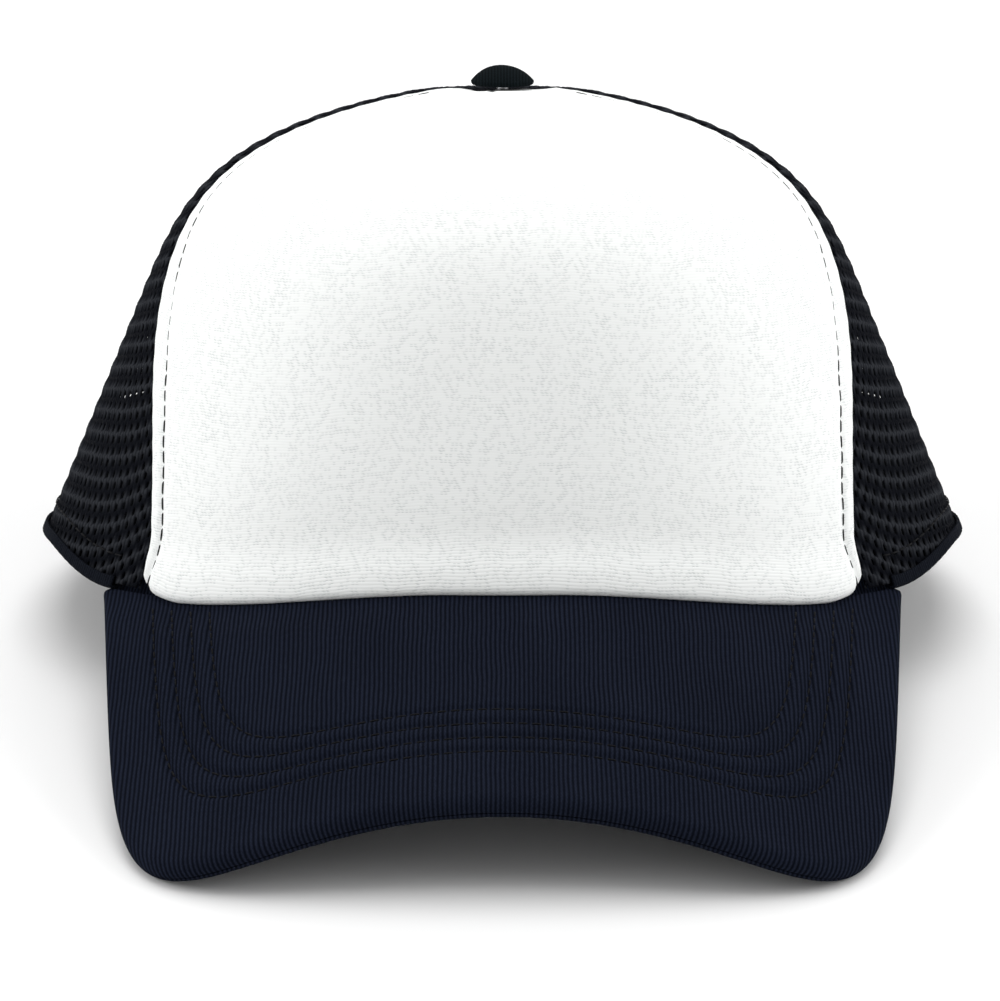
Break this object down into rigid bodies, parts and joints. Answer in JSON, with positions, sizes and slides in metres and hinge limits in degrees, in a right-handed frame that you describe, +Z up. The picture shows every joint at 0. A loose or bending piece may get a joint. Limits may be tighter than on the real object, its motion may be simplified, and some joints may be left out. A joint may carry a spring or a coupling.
{
  "type": "trucker cap",
  "caption": "Foam-front mesh cap with a curved stiffened brim, covered top button, sweatband and a snap strap across the back opening.",
  "frame": {"origin": "on the surface the cap lies on, under the centre of its bounding box", "axes": "+Z up; the brim points towards -Y and the back opening faces +Y; +X is to the right when looking along +Y, and all but the two straps is symmetric about X = 0"},
  "size_m": [0.221, 0.2268, 0.1281],
  "materials": {
    "front_foam": "white knitted facing on foam",
    "thread": "black sewing thread",
    "mesh": "black knitted mesh with open holes",
    "binding": "black folded cloth",
    "tape": "black woven tape",
    "sweatband": "black woven cotton facing",
    "soft_core": "white foam core",
    "label": "plain white woven cloth",
    "button_cloth": "black cloth stretched over a metal cap",
    "metal": "plain zinc-plated steel",
    "brim_cloth": "black knitted cloth backed with thin foam",
    "board": "stiff white polyethylene board",
    "strap": "moulded black plastic, fine satin"
  },
  "bodies": {
    "cap": {"front_panel": "front_foam", "front_topstitch_left": "thread", "front_topstitch_right": "thread", "side_mesh_left": "mesh", "side_mesh_right": "mesh", "back_mesh_left": "mesh", "back_mesh_right": "mesh", "seam_tape_front_left": "tape", "seam_tape_front_right": "tape", "seam_tape_side_left": "tape", "seam_tape_side_right": "tape", "seam_tape_back": "tape", "hem_left": "binding", "hem_right": "binding", "arch_binding": "binding", "sweatband_facing": "sweatband", "sweatband_foam": "soft_core", "inner_label": "label", "button_cover": "button_cloth", "button_rivet": "metal", "button_washer": "metal", "brim_top_cover": "brim_cloth", "brim_board": "board", "brim_under_cover": "brim_cloth", "brim_stitching": "thread", "hole_strap_tab": "strap", "peg_strap_tab": "strap"},
    "hole_strap": {"hole_strap": "strap"},
    "peg_strap": {"peg_strap": "strap"}
  },
  "joints": [
    {"name": "hole_strap_peel", "type": "hinge", "parent": "cap", "child": "hole_strap", "pos_m": [0.035, 0.10319, 0.01023], "axis": [0, -0.0666, -0.9978], "range_deg": [0, 100]},
    {"name": "peg_strap_peel", "type": "hinge", "parent": "cap", "child": "peg_strap", "pos_m": [-0.035, 0.10319, 0.01023], "axis": [0, -0.0666, -0.9978], "range_deg": [0, 60]}
  ]
}
